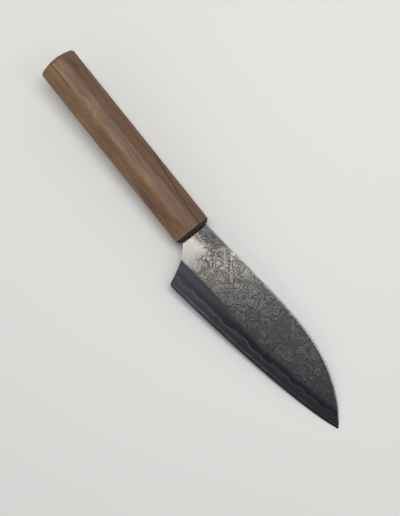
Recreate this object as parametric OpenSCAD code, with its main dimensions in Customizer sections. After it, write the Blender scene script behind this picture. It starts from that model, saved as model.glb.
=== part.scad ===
// Japanese kitchen knife with a three-layer blade and a softly eight-sided wooden handle.
// The knife lies on its left side: X runs along the handle towards the point, Y towards the spine, Z up.
// The origin is the middle of the handle's lower flat. The blade's middle plane is the handle's too.

/* [Handle] */
// Length of the handle
handle_len = 130.6; // [118:0.2:150]
// Height of the handle, in the direction from edge to spine
handle_h = 23.6; // [21:0.2:27]
// Thickness of the handle, flat to flat
handle_t = 20; // [18.5:0.5:24]
// Width of the upper and lower flats as a share of the handle's height
flat_share = 0.37; // [0.3:0.01:0.5]
// Height of the two side flats as a share of the handle's thickness
side_share = 0.4; // [0.3:0.01:0.5]
// Radius that eases the eight long edges
long_edge_r = 6; // [0.8:0.1:7]
// Depth of the eased edge round the butt
butt_ease = 1.3; // [0.5:0.1:3]
// Form of the butt's edge: 1 is a straight chamfer, 2 a full round
butt_roundness = 1.8; // [1:0.05:2]
// Height of the butt's low dome
butt_dome = 2.5; // [0.5:0.1:3.5]
// Depth of the eased edge round the front end
front_ease = 2; // [0.5:0.1:2.5]
// Form of the front's edge: 1 is a straight chamfer, 2 a full round
front_roundness = 1; // [1:0.05:2]

/* [Blade outline] */
// Distance from the handle to the point, along the spine
tip_x = 141; // [125:1:155]
// Angle of the spine to the handle's axis, in degrees
pitch = 5.75; // [2:0.25:8]
// Height of the neck where it meets the handle
neck_h = 17.4; // [15.5:0.2:19]
// Distance from the handle to the heel, along the spine
heel_x = 10.8; // [9:0.2:16]
// Depth of the heel below the spine
heel_h = 40.6; // [36:0.1:46]
// Reach of the rounding at the heel's corner
heel_round = 2.4; // [0.5:0.1:3]
// Drop of the point below the line of the spine
tip_drop = 29; // [24:0.1:34]
// Distance from the handle to the hollow of the choil, along the spine
choil_x = 6.7; // [5:0.1:8]
// Depth of the hollow of the choil below the spine
choil_depth = 22.8; // [21:0.1:26]
// Where the straight spine starts to curve, as a share of the distance to the point
spine_bend_share = 0.34; // [0.25:0.01:0.6]
// How far the point lies along the spine's quarter curve, as a share of its span
spine_reach_share = 0.74; // [0.6:0.01:0.96]
// Form of the spine's curve: 2 is an ellipse, more keeps it straighter at its start
spine_form = 3; // [2:0.1:3.4]
// Where the edge starts to curve, as a share of the distance to the point
edge_bend_share = 0.21; // [0.1:0.01:0.5]
// How far the point lies along the edge's quarter ellipse, as a share of its span
edge_reach_share = 0.935; // [0.7:0.005:0.98]
// Share of the edge's rise that is a straight run from the heel
edge_straight_share = 0.33; // [0.2:0.01:0.8]

/* [Blade section] */
// Thickness of the spine at the neck
neck_t = 2.8; // [2.4:0.1:3.2]
// Thickness that the spine would have at the point without the bevels
tip_t = 1.3; // [1:0.1:1.8]
// Thickness above the bevel as a share of the spine's
waist_share = 0.93; // [0.86:0.01:1]
// Height of the wide bevel above the edge, at the heel
bevel_h = 16; // [12:0.5:18]
// Height of the wide bevel above the edge, at the point
bevel_tip_h = 13; // [8:0.5:18]
// Roundness of the bevel: 1 is flat, more is convex
bevel_roundness = 1.3; // [1:0.05:1.6]
// Height of the fine bevel at the edge
fine_bevel_h = 0.7; // [0.4:0.1:1.2]
// Thickness where the fine bevel starts
fine_bevel_t = 0.3; // [0.2:0.05:0.5]
// Width of the edge itself
edge_t = 0.06; // [0.04:0.02:0.12]
// Depth of the easing of the spine's two long edges
spine_ease = 0.35; // [0.1:0.05:0.5]
// Width of that easing at the point, where it spreads over the face
tip_ease_w = 1.1; // [0.5:0.1:1.5]

/* [Lamination] */
// Thickness of the hard core layer as a share of the blade's
core_share = 0.34; // [0.25:0.01:0.4]
// Mean height above the edge at which the cladding starts
lam_h = 4.6; // [3.5:0.1:6.5]
// Height of the lamination line's waves, each way
lam_wave_h = 0.8; // [0:0.1:1.2]
// Length of the lamination line's main waves
lam_wave_len = 27; // [18:1:60]
// Distance that the left face's waves are shifted by
lam_shift = 11; // [0:1:30]

/* [Tang and bedding] */
// Length of the tang
tang_len = 94; // [70:1:98]
// Height of the tang at the handle's front
tang_front_h = 10.4; // [8:0.2:12]
// Height of the tang at its end
tang_end_h = 6; // [4:0.2:7]
// Thickness of the tang
tang_t = 2.5; // [2:0.1:3]
// Diameter of the slotted dowel
dowel_d = 14; // [13:0.2:15]
// Length of the slot left behind the tang
slot_end_gap = 3; // [1:0.5:5]
// Length of solid wood behind the dowel's slot
dowel_heel = 5; // [3:0.5:6]
// Gap for resin on each face of the tang
resin_gap = 0.4; // [0.2:0.05:0.8]
// Glue line round the dowel and behind it
glue_line = 0.1; // [0.05:0.01:0.2]

/* [Hidden] */

// Overrun of every cut
over = 1;
// Length of tang that is rooted inside the neck
root_len = 1;
// Thickness of the cladding's feather edge at the lamination line
feather = 0.02;
// Run over which the core settles to its own thickness above the lamination line
settle_h = 3;
// Height of the cladding where it runs out near the point
strip_end_h = 0.3;
// Blunt length left off at the point
tip_land = 0.15;
// Counts of points along the choil and the heel, and of sections along the clad blade and the bare point
choil_steps = 16;
heel_steps = 5;
blade_steps = 84;
point_steps = 8;
// Counts of rows on the bevel and of points round each long handle edge
bevel_rows = 5;
edge_points = 7;
// Least radius of the handle's corners where an eased end is drawn in
corner_r = 0.5;
// Least spacing between the rows of a section, as a share of its length
row_share = 0.02;
// Count of sections on the butt's face and on each eased end of the handle
end_steps = 5;
// How far the rounded heel ends outside the edge, so that it crosses it
heel_out = 0.06;
// Width of the spine's easing, at most, as a share of a section's length
ease_share = 0.06;
round_fn = 96;

// Tightness of the choil's curve at its hollow
choil_pull_share = 0.576;
// Two waves make the lamination line: their heights and their lengths
wave_height_shares = [0.65, 0.35];
wave_length_shares = [1, 0.39];

spine_bend = tip_x * spine_bend_share;
spine_span = (tip_x - spine_bend) / spine_reach_share;
edge_bend = tip_x * edge_bend_share;
edge_span = (tip_x - edge_bend) / edge_reach_share;
edge_rise = heel_h - tip_drop;
core_half = neck_t / 2 * core_share;
tang_half = tang_t / 2;
slot_w = tang_t + 2 * resin_gap;
slot_len = tang_len + slot_end_gap;
dowel_len = slot_len + dowel_heel;
bore_r = dowel_d / 2 + glue_line;

// Part of a quarter curve that leaves its start level and steepens along its span, from 0 to 1:
// an ellipse where form is 2
function eased(x, start, span, form) = let (u = min(1, max(0, x - start) / span))
    1 - pow(1 - pow(u, form), 1 / form);

// Depth of the spine and of the edge below the spine's straight line, at a distance s from the handle
function spine_at(s) = tip_drop
    * eased(s, spine_bend, spine_span, spine_form) / eased(tip_x, spine_bend, spine_span, spine_form);
function edge_at(s) = heel_h
    - edge_rise * edge_straight_share * (s - heel_x) / (tip_x - heel_x)
    - edge_rise * (1 - edge_straight_share)
        * eased(s, edge_bend, edge_span, 2) / eased(tip_x, edge_bend, edge_span, 2);

// Share of the way from the heel to the point, over which the blade's section changes
function past_heel(s) = max(0, s - heel_x) / (tip_x - heel_x);
function from_to(a, b, share) = a + (b - a) * share;

// Half thickness of the spine, constant to the heel and then tapering to the point
function spine_half(s) = from_to(neck_t, tip_t, past_heel(s)) / 2;

// Height of the wide bevel, which narrows from the heel to the point, and width of the spine's easing
function bevel_at(s) = from_to(bevel_h, bevel_tip_h, past_heel(s));
function ease_w(s) = from_to(spine_ease, tip_ease_w, past_heel(s));

// Half thickness of the whole blade at a distance s from the handle and a depth t below the spine's line
function half_at(s, t) =
    let (e = edge_at(s) - t, top = bevel_at(s), waist = spine_half(s) * waist_share,
         fine = fine_bevel_t / 2)
    e <= fine_bevel_h ? edge_t / 2 + (fine - edge_t / 2) * max(0, e) / fine_bevel_h :
    e <= top ? fine + (waist - fine)
        * (1 - pow(1 - (e - fine_bevel_h) / (top - fine_bevel_h), bevel_roundness)) :
    waist + (spine_half(s) - waist) * (e - top) / (edge_at(s) - spine_at(s) - top);

// Height of the lamination line above the edge; side is 0 on the right face and 1 on the left
function lam_at(s, side) = let (x = s + side * lam_shift)
    lam_h + lam_wave_h * (
        wave_height_shares[0] * sin(360 * x / (lam_wave_len * wave_length_shares[0]))
        + wave_height_shares[1] * sin(360 * x / (lam_wave_len * wave_length_shares[1])));

// Half thickness of the core under the cladding: from the lamination line it settles to its own share
function core_at(s, t, side) =
    let (e = edge_at(s) - t, lam = lam_at(s, side),
         own = spine_half(s) * core_share,
         line = half_at(s, edge_at(s) - lam) - feather)
    min(half_at(s, t) - feather, own + (line - own) * max(0, 1 - max(0, e - lam) / settle_h));

// Distance from the handle at which the cladding of one face runs out, found by halving
function runs_out(side, low, high, n = 30) = let (mid = (low + high) / 2)
    n == 0 ? mid :
    edge_at(mid) - spine_at(mid) - lam_at(mid, side) > strip_end_h ?
        runs_out(side, mid, high, n - 1) : runs_out(side, low, mid, n - 1);
clad_end = min(runs_out(0, heel_x, tip_x), runs_out(1, heel_x, tip_x));

// Each section is a straight line across the blank, from the edge up to the spine
function across(s) = [[s, edge_at(s)], [s, spine_at(s)]];
blank_start = -neck_h;
function clad_lines() =
    [for (i = [0 : blade_steps]) across(blank_start + (clad_end - blank_start) * i / blade_steps)];
function point_lines() =
    [for (i = [1 : point_steps]) across(clad_end + (tip_x - tip_land - clad_end) * i / point_steps)];

// Share of the way up a section at which a height above the edge is reached, kept clear of its ends
function limited(x, low, high) = max(low, min(high, x));
function up_share(line, e) = e / (line[0][1] - line[1][1]);
function lam_share(line, side) =
    limited(up_share(line, lam_at(line[0][0], side)), 3 * row_share, 1 - ease_share - 5 * row_share);
function settle_share(line, side) =
    limited(up_share(line, lam_at(line[0][0], side) + settle_h),
        lam_share(line, side) + row_share, 1 - ease_share - 3 * row_share);
function bevel_share(line, side) =
    limited(up_share(line, bevel_at(line[0][0])),
        lam_share(line, side) + 2 * row_share, 1 - ease_share - row_share);

// Points of the model at a share of a section: on the outer face and under the cladding
function on_line(line, share) = line[0] + (line[1] - line[0]) * share;
function outer_point(line, share, inset = 0) =
    let (p = on_line(line, share)) [p[0], -p[1], half_at(p[0], p[1]) - inset];
function inner_point(line, share, side) =
    let (p = on_line(line, share)) [p[0], -p[1], core_at(p[0], p[1], side)];

// Rows of one face of the core, from the edge to the spine, under the cladding where there is one
function core_rows(line, side) =
    let (lam = lam_share(line, side), fine = limited(up_share(line, fine_bevel_h), lam / 6, lam / 2),
         bare = line[0][0] > clad_end)
    concat(
        [for (share = [0, fine, (fine + lam) / 2]) outer_point(line, share)],
        [for (share = [lam, settle_share(line, side), 1])
            bare ? outer_point(line, share) : inner_point(line, share, side)]);

// Outline of one section of the core: up its right face and down its left one
function core_ring(line) =
    let (right = core_rows(line, 0), left = core_rows(line, 1), n = len(left))
    concat(right, [for (k = [n - 1 : -1 : 0]) [left[k][0], left[k][1], -left[k][2]]]);

// Outline of one section of the cladding: up its outer face and, over the eased spine, down its inner one
function clad_outer(line, side) =
    let (lam = lam_share(line, side), bevel = bevel_share(line, side),
         skin = outer_point(line, 1)[2] - inner_point(line, 1, side)[2],
         ease = min(spine_ease, skin / 2),
         shoulder = 1 - min(up_share(line, ease_w(line[1][0])), ease_share))
    concat(
        [for (k = [0 : bevel_rows]) outer_point(line, lam + (bevel - lam) * k / bevel_rows)],
        [outer_point(line, (shoulder + bevel) / 2), outer_point(line, shoulder),
            outer_point(line, 1, ease)]);
function clad_ring(line, side) = concat(clad_outer(line, side),
    [for (share = [1, settle_share(line, side), lam_share(line, side)]) inner_point(line, share, side)]);

// Solid through a row of like outlines, closed at both ends. Its quads are split so that facing
// layers share their triangles: from flip on, a quad is cut along its other diagonal.
module loft(rings, flip) {
    n = len(rings[0]);
    last = len(rings) - 1;
    function at(i, j) = i * n + j % n;
    sides = [for (i = [0 : last - 1], j = [0 : n - 1]) each
        j < flip
            ? [[at(i, j), at(i, j + 1), at(i + 1, j + 1)], [at(i, j), at(i + 1, j + 1), at(i + 1, j)]]
            : [[at(i, j), at(i, j + 1), at(i + 1, j)], [at(i, j + 1), at(i + 1, j + 1), at(i + 1, j)]]];
    ends = [[for (j = [n - 1 : -1 : 0]) at(0, j)], [for (j = [0 : n - 1]) at(last, j)]];
    polyhedron(points = [for (ring = rings) each ring], faces = concat(sides, ends));
}

// Everything is placed from the middle of the handle's front face
module from_front() {
    translate([handle_len / 2, 0, handle_t / 2]) children();
}

// The blade's own axes: along its spine, with the spine's corner at the top of the neck
module blade_axes() {
    translate([0, neck_h / 2, 0]) rotate([0, 0, pitch]) children();
}

// The choil is one curve from the foot of the neck through its hollow to the heel
neck_foot = [-neck_h * sin(pitch), neck_h * cos(pitch)];
choil_hollow = [choil_x, choil_depth];
heel = [heel_x, heel_h];
neck_pull = neck_foot + (choil_hollow - neck_foot) * choil_pull_share;
heel_pull = heel + (choil_hollow - heel) * choil_pull_share;
function choil_point(u) = let (v = 1 - u)
    neck_foot * pow(v, 3) + neck_pull * 3 * u * v * v + heel_pull * 3 * u * u * v + heel * pow(u, 3);

// The heel's corner is rounded from a place near the end of that curve to a place on the edge
heel_start = 1 - heel_round / (3 * norm(heel - heel_pull));
heel_end = [heel_x + heel_round, edge_at(heel_x + heel_round) + heel_out];
function heel_point(u) = let (v = 1 - u)
    choil_point(heel_start) * v * v + heel * 2 * u * v + heel_end * u * u;

// What is cut from the blank through all its layers: behind the neck and in front of the choil
module choil_cut() {
    up = neck_foot / norm(neck_foot);
    outline = concat(
        [for (i = [heel_steps : -1 : 1]) heel_point(i / heel_steps)],
        [for (i = [choil_steps : -1 : 0]) choil_point(heel_start * i / choil_steps)],
        [-up * over, [2 * blank_start, -over], [2 * blank_start, edge_at(blank_start) + over],
            [heel_end[0], edge_at(blank_start) + over]]);
    linear_extrude(neck_t + 2 * over, center = true)
        polygon([for (p = outline) [p[0], -p[1]]]);
}

// One layer of the tang, which tapers from its root a little way inside the neck to a round end
module tang_layer(low, high) {
    round_x = tang_end_h / 2 - tang_len;
    translate([0, 0, low]) linear_extrude(high - low) {
        polygon([
            [root_len, -tang_front_h / 2], [root_len, tang_front_h / 2],
            [round_x, tang_end_h / 2], [round_x, -tang_end_h / 2]]);
        translate([round_x, 0]) circle(d = tang_end_h, $fn = round_fn);
    }
}

// Hard core of the blade, with the edge and the middle layer of the tang
module core_steel() {
    color("dimgray") from_front() {
        blade_axes() difference() {
            loft([for (line = concat(clad_lines(), point_lines())) core_ring(line)],
                flip = len(core_rows(across(0), 0)));
            choil_cut();
        }
        tang_layer(-core_half, core_half);
    }
}

// Cladding of one face, with its layer of the tang
module cladding(side) {
    blade_axes() difference() {
        loft([for (line = clad_lines()) clad_ring(line, side)], flip = len(clad_outer(across(0), side)));
        choil_cut();
    }
    tang_layer(core_half, tang_half);
}

module cladding_right() {
    color("silver") from_front() cladding(0);
}

module cladding_left() {
    color("silver") from_front() mirror([0, 0, 1]) cladding(1);
}

// The handle's eight sides: the direction that each faces and its distance from the axis
half_h = handle_h / 2;
half_t = handle_t / 2;
flat_half = half_h * flat_share;
side_half = half_t * side_share;
slant = [half_t - side_half, half_h - flat_half] / norm([half_t - side_half, half_h - flat_half]);
slant_d = flat_half * slant[0] + half_t * slant[1];
faces_out = [for (k = [0 : 3]) each let (a = [[1, 0], [0, 1], [-1, 0], [0, -1]][k],
    b = [slant, [-slant[0], slant[1]], -slant, [slant[0], -slant[1]]][k]) [a, b]];
faces_d = [half_h, slant_d, half_t, slant_d, half_h, slant_d, half_t, slant_d];

// Outline of the handle at a place along it, drawn in all round, with its corners eased, or a share of it.
// Drawing it in keeps the middles of the corners' arcs, so that an end's eased edge is even all round.
function handle_ring(x, inset, share = 1) = [for (k = [0 : 7]) each
    let (a = faces_out[k], b = faces_out[(k + 1) % 8],
         r = max(long_edge_r - inset, corner_r),
         da = faces_d[k] - inset - r, db = faces_d[(k + 1) % 8] - inset - r,
         det = a[0] * b[1] - a[1] * b[0],
         centre = [da * b[1] - db * a[1], a[0] * db - b[0] * da] / det,
         from = atan2(a[1], a[0]), turn = acos(a * b))
    [for (m = [0 : edge_points - 1]) let (w = from + turn * m / (edge_points - 1))
        [x, share * (centre[0] + r * cos(w)), share * (centre[1] + r * sin(w))]]];

// How far an eased end is drawn in, at a share u of its depth from the end face
function drawn_in(u, roundness) = 1 - pow(1 - pow(1 - u, roundness), 1 / roundness);

// The butt's face swells in a low dome round a small flat: how far it falls back at a place that is
// drawn in by inset and lies a share of the way out from the axis
dome_flat = (1 - butt_ease / half_h) / end_steps;
function domed(inset, share = 1) = let (k = share * (1 - inset / half_h))
    butt_dome * (k * k - dome_flat * dome_flat) / (1 - dome_flat * dome_flat);

module handle_body() {
    face = [for (i = [1 : end_steps - 1]) let (share = i / end_steps)
        handle_ring(-handle_len + domed(butt_ease, share), butt_ease, share)];
    butt = [for (i = [0 : end_steps])
        let (u = i / end_steps, inset = butt_ease * drawn_in(u, butt_roundness))
        handle_ring(-handle_len + domed(inset) + butt_ease * u, inset)];
    front = [for (i = [end_steps : -1 : 0]) let (u = i / end_steps)
        handle_ring(-front_ease * u, front_ease * drawn_in(u, front_roundness))];
    loft(concat(face, butt, front), flip = 8 * edge_points);
}

// One-piece handle, bored from the front for the dowel
module handle() {
    color("saddlebrown") from_front() difference() {
        handle_body();
        translate([-dowel_len - glue_line, 0, 0]) rotate([0, 90, 0])
            cylinder(r = bore_r, h = dowel_len + glue_line + over, $fn = round_fn);
    }
}

// Body of the dowel and the slot sawn down it from its front end
module dowel_round() {
    translate([-dowel_len, 0, 0]) rotate([0, 90, 0]) cylinder(d = dowel_d, h = dowel_len, $fn = round_fn);
}

module dowel_slot(overrun) {
    translate([-slot_len, -dowel_d / 2 - overrun, -slot_w / 2])
        cube([slot_len + overrun, dowel_d + 2 * overrun, slot_w]);
}

module tang_dowel() {
    color("burlywood") from_front() difference() {
        dowel_round();
        dowel_slot(over);
    }
}

// Resin that fills the slot round the tang and ends flush with the handle
module tang_resin() {
    color("darkkhaki") from_front() difference() {
        intersection() {
            dowel_round();
            dowel_slot(0);
        }
        tang_layer(-tang_half, tang_half);
    }
}

core_steel();
cladding_right();
cladding_left();
handle();
tang_dowel();
tang_resin();
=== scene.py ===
"""Looks of a Japanese kitchen knife: a blade of layered steel and a softly eight-sided wooden handle."""

import math

import bpy
import numpy as np
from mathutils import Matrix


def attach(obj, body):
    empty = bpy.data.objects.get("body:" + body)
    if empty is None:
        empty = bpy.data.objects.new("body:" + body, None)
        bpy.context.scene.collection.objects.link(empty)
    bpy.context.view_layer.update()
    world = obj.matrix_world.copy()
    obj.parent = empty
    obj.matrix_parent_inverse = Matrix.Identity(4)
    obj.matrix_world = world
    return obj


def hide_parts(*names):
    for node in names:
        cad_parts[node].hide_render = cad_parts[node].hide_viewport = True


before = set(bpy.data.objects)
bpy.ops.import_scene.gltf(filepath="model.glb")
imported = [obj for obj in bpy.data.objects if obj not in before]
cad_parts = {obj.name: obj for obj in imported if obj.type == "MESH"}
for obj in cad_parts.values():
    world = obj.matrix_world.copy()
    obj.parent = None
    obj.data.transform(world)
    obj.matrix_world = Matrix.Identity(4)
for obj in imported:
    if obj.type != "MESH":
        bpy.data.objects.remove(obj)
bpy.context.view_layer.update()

bl_info = {
    "name": "Japanese kitchen knife",
    "version": (1, 0, 0),
    "blender": (4, 5, 0),
    "location": "3D Viewport > Sidebar > Knife",
    "description": "Builds and finishes a kitchen knife with a layered blade on a hidden tang",
    "category": "Add Mesh",
}

MM = 0.001
TINY = 0.01 * MM  # least length, where a length of nothing would spoil a form

# Fixed values of the blade

WAVE_SHARES = (0.65, 0.35)  # heights of the lamination line's two sine waves, as shares of the whole
WAVE_LENGTH_SHARE = 0.39  # length of the second wave as a share of the first one's
FEATHER = 0.02 * MM  # thickness of the cladding at its feathered edge
SETTLE = 3 * MM  # height over which the core narrows above the lamination line
STRIP_END = 0.3 * MM  # height of the cladding where it runs out towards the point
TIP_LAND = 0.15 * MM  # length left off the point, so that its last section has a height
HEEL_PLACE = 0.9  # share of the choil's path at which the rounding of the heel starts
ROOT = 1 * MM  # how far the tang's taper would reach past the handle's front
TANG_TIP_TURN = 6  # degrees round the tang's end at which its first section stands
TANG_PLACE = (-20.0, 30.0, 2.0)  # blade_place on the tang, clear of the blade's patterns
TANG_RIMS = (25.0, 9.0, 9.0)  # blade_rims on the tang

# Counts of sections along the blade and of rows up it

CHOIL_STEPS = (40, 12)  # sections along the choil, and round the heel
BARE_STEPS = 40  # sections of the core past the end of the claddings
TANG_STEPS = (14, 12)  # sections of the tang's round end, and of its taper
CORE_ROWS = (3, 12, 10, 12)  # fine bevel, bare bevel, narrowing, under the cladding
BEVEL_ROWS, FLAT_ROWS, EASE_ROWS = 18, 30, 4  # the cladding's outer face, up to the top of the spine
INNER_ROWS = (10, 10)  # the cladding's inner face, down to the lamination line
SEARCH_POINTS = 4001  # points of the choil's path among which a height is looked up
END_POINTS = 40001  # points along the blade among which the cladding's end is looked up
HALVINGS = 40  # steps of a search by halving

# Room that the marked rows keep from one another, as shares of a section

ROOM = 0.03
NOTHING = 1e-6  # share below which the lamination line counts as lying at the section's foot
LINE_RANGE = (0.06, 0.88)  # lamination line on the core
FINE_RANGE = (1 / 6, 1 / 2)  # top of the fine bevel, as shares of the lamination line's height
SETTLE_TOP = 0.96  # end of the core's narrowing
SETTLE_RANGE = (0.06, 0.9)  # the same row of the cladding, as shares of what is above the line
EASE_MOST = 0.3  # most of the cladding's height that the spine's easing takes
BEVEL_MOST = 0.9  # most of the cladding's height under the easing that the bevel takes

# Fixed values of the handle

FLAT_LEAD = 0.5 * MM  # distance from each rounded edge at which a flat starts to be shaded flat
DOME_FLAT = 0.02  # innermost ring of the butt's face, as a share of its outline
BUTT_GRAIN = 0.3  # how far the butt shows end grain
CREASE = 0.05 * MM  # distance of the ring that keeps the front's eased edge crisp

# Fixed values of the finishes, with places on the handle in millimetres from its middle

LAYER_SEED = 510.0  # place in the noise from which the layers' figure is taken, in mm
SIDES_APART = 60.0  # distance in the noise from the right face's patterns to the left one's, in mm
FIELD_STEP = 0.12  # step over which the slope of the layers' height field is taken, in mm
LEAST_SLOPE = 0.05  # slope below which the field counts as level
WORN_RIM = (0.45, 0.1)  # distances from the edge or the choil at which its worn rim fades and is full
CURL = (-26.0, -1.0, 14.0, 11.0, 0.9)  # centre, half length and half height, and turn in radians
HONEY_SPOTS = ((20.0, -2.5, 60.0, 5.0, 0.16), (-58.0, -2.5, 26.0, 6.0, 0.3))  # and strength
KNOT = (-54.0, 7.0, 6.0, 3.5, 0.5)
LONG_LINE = (63 * MM, 6 * MM, 47 * MM, 4.6 * MM, 1.5)  # start along and across, run, rise and power
SHORT_LINE = (-48 * MM, -40 * MM, -2.4 * MM, 2 * MM)  # full and faded end, place across and waver
BLACK = (0.0, 0.0, 0.0)

# Fixed values of the stage, in metres

FLOOR_REACH = 3.0
FLOOR_DROP = 0.05 * MM  # distance that the floor keeps from the handle's front and from the point
SKY_OVERHEAD = (0.055, 0.055, 0.058)  # colour of the sky overhead, which the polished steel mirrors
SKY_FADE = (0.35, 0.95)  # heights in the sky between which it changes to that colour
KEY_LAMP = ((0.7, 0.32), (-0.13, 0.16, 0.85), (0.05, 0.0, 0.0))  # size, place and the point it faces
RIM_LAMP = ((0.28, 0.28), (0.36, 0.32, 0.74), (0.18, 0.0, 0.0))


# Sizes and colours


def length(name, description, millimetres):
    """A size in metres, written here in millimetres."""
    return bpy.props.FloatProperty(
        name=name, description=description, default=millimetres * MM, unit="LENGTH", precision=5
    )


def share(name, description, value, most=1.0):
    """A share or another plain number."""
    return bpy.props.FloatProperty(name=name, description=description, default=value, min=0.0, max=most)


def count(name, description, value):
    """A whole number of steps."""
    return bpy.props.IntProperty(name=name, description=description, default=value, min=1)


def angle(name, description, degrees):
    """An angle in radians, written here in degrees."""
    return bpy.props.FloatProperty(
        name=name, description=description, default=math.radians(degrees),
        subtype="ANGLE", unit="ROTATION",
    )


def power(name, description, watts):
    """Power of a lamp."""
    return bpy.props.FloatProperty(name=name, description=description, default=watts, unit="POWER")


def linear(red, green, blue):
    """A colour written as it shows on screen, from 0 to 255, in the linear values that shaders take."""
    shown = np.array([red, green, blue]) / 255
    return tuple(np.where(shown <= 0.04045, shown / 12.92, ((shown + 0.055) / 1.055) ** 2.4).tolist())


def paint(name, description, red, green, blue):
    """A colour that the user may change."""
    return bpy.props.FloatVectorProperty(
        name=name, description=description, default=linear(red, green, blue),
        subtype="COLOR", size=3, min=0.0, max=1.0,
    )


class BladeShape(bpy.types.PropertyGroup):
    """Sizes of the blade and its tang."""

    tip_x: length("Length", "Distance from the handle to the point, along the spine", 141)
    pitch: angle("Pitch", "Angle of the spine to the handle's axis", 5.75)
    neck_h: length("Neck height", "Height of the neck where it meets the handle", 17.4)
    heel_x: length("Heel distance", "Distance from the handle to the heel, along the spine", 10.8)
    heel_h: length("Heel depth", "Depth of the heel below the spine", 40.6)
    heel_round: length("Heel rounding", "Reach of the rounding at the heel's corner", 2.4)
    tip_drop: length("Tip drop", "Drop of the point below the line of the spine", 29)
    choil_x: length("Choil distance", "Distance from the handle to the hollow of the choil", 6.7)
    choil_depth: length("Choil depth", "Depth of the hollow of the choil below the spine", 22.8)
    choil_pull: share("Choil pull", "Tightness of the choil's curve at its hollow", 0.576)
    spine_bend: share("Spine bend", "Where the spine starts to curve, as a share of the length", 0.34)
    spine_reach: share("Spine reach", "How far the point lies along the spine's quarter curve", 0.74)
    spine_form: share("Spine form", "2 is an ellipse, more keeps the spine straighter at its start", 3, 4)
    edge_bend: share("Edge bend", "Where the edge starts to curve, as a share of the length", 0.21)
    edge_reach: share("Edge reach", "How far the point lies along the edge's ellipse", 0.935)
    edge_straight: share("Straight rise", "Share of the edge's rise that is a straight run", 0.33)
    neck_t: length("Neck thickness", "Thickness of the spine at the neck", 2.8)
    tip_t: length("Tip thickness", "Thickness of the spine at the point", 1.3)
    waist: share("Waist", "Thickness above the bevel as a share of the spine's", 0.93)
    bevel_h: length("Bevel height", "Height of the wide bevel at the heel", 16)
    bevel_tip_h: length("Bevel height at the tip", "Height of the wide bevel at the point", 13)
    bevel_roundness: share("Bevel roundness", "1 is a flat bevel, more is convex", 1.3, 2.0)
    fine_bevel_h: length("Fine bevel height", "Height of the fine bevel at the edge", 0.7)
    fine_bevel_t: length("Fine bevel thickness", "Thickness where the fine bevel starts", 0.3)
    edge_t: length("Edge thickness", "Width of the edge itself", 0.06)
    spine_ease: length("Spine easing", "Depth of the easing of the spine's two long edges", 0.35)
    tip_ease_w: length("Easing at the tip", "Width of the spine's easing at the point", 1.1)
    core_share: share("Core", "Thickness of the hard core as a share of the blade's", 0.34)
    lam_h: length("Lamination height", "Mean height above the edge at which the cladding starts", 4.6)
    lam_wave_h: length("Wave height", "Height of the lamination line's waves, each way", 0.8)
    lam_wave_len: length("Wave length", "Length of the lamination line's main waves", 27)
    lam_shift: length("Wave shift", "Distance that the left face's waves are shifted by", 11)
    tang_len: length("Tang length", "Length of the tang", 94)
    tang_front_h: length("Tang height", "Height of the tang at the handle's front", 10.4)
    tang_end_h: length("Tang end height", "Height of the tang at its end", 6)
    tang_t: length("Tang thickness", "Thickness of the tang", 2.5)
    steps: count("Steps", "Count of sections from the heel to the point", 300)


class HandleShape(bpy.types.PropertyGroup):
    """Sizes of the handle and its bore."""

    length: length("Length", "Length of the handle", 130.6)
    height: length("Height", "Height of the handle, from edge side to spine side", 23.6)
    thickness: length("Thickness", "Thickness of the handle, flat to flat", 20)
    flat: share("Flats", "Width of the upper and lower flats as a share of the height", 0.37)
    side: share("Sides", "Height of the side flats as a share of the thickness", 0.4)
    edge_r: length("Edge radius", "Radius that eases the eight long edges", 6)
    corner_r: length("Least edge radius", "Least radius of those edges where an end is drawn in", 0.5)
    butt_ease: length("Butt easing", "Depth of the eased edge round the butt", 1.3)
    butt_roundness: share("Butt roundness", "1 is a straight chamfer, 2 a full round", 1.8, 2.0)
    butt_dome: length("Butt dome", "Height of the butt's low dome", 2.5)
    front_ease: length("Front easing", "Depth of the eased edge round the front end", 2)
    front_roundness: share("Front roundness", "1 is a straight chamfer, 2 a full round", 1, 2)
    bore_d: length("Bore", "Diameter of the bore for the dowel", 14.2)
    bore_len: length("Bore depth", "Depth of the bore for the dowel", 102.1)
    edge_steps: count("Edge steps", "Count of points round each long edge", 13)
    end_steps: count("End steps", "Count of rings round each eased end", 16)


class Finishes(bpy.types.PropertyGroup):
    """Colours of the steels and woods."""

    # The bright and grey layers also carry a painted highlight that fades from the neck to the point.
    steel_bright: paint("Bright layers", "Bright layers of the cladding at the neck", 222, 216, 206)
    steel_grey: paint("Grey layers", "Layers of the cladding towards the point", 150, 151, 153)
    # The dark layers' colour also gives the painted shade by the spine at the neck and on the spine's rim
    # there.
    steel_dark: paint("Dark layers", "Thin dark layers of the cladding", 60, 60, 62)
    steel_pale: paint("Pale layers", "Thin pale layers of the cladding", 206, 208, 205)
    bevel_dark: paint("Dark bevel", "Darkest steel of the wide bevel", 52, 53, 58)
    bevel_light: paint("Light bevel", "Lightest steel of the wide bevel", 114, 117, 124)
    # The edge colour also gives the painted highlight on the spine's rim towards the point.
    edge_bright: paint("Edge", "Freshly honed edge", 172, 174, 178)
    walnut_mid: paint("Handle wood", "Main colour of the handle", 104, 76, 56)
    walnut_light: paint("Light grain", "Honey-coloured streaks of the handle", 134, 102, 70)
    walnut_dark: paint("Dark grain", "Dark growth lines of the handle", 58, 38, 26)
    # The end grain colour is also darkened as painted shade on the front's eased edge.
    end_grain_and_shade: paint("End grain", "Dark end grain of the handle", 40, 26, 18)
    dowel_wood: paint("Dowel wood", "Main colour of the dowel", 176, 146, 108)
    # The resin colour also paints the shadow on the neck by the handle.
    resin: paint("Resin", "Bedding resin round the tang", 34, 28, 23)


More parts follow.
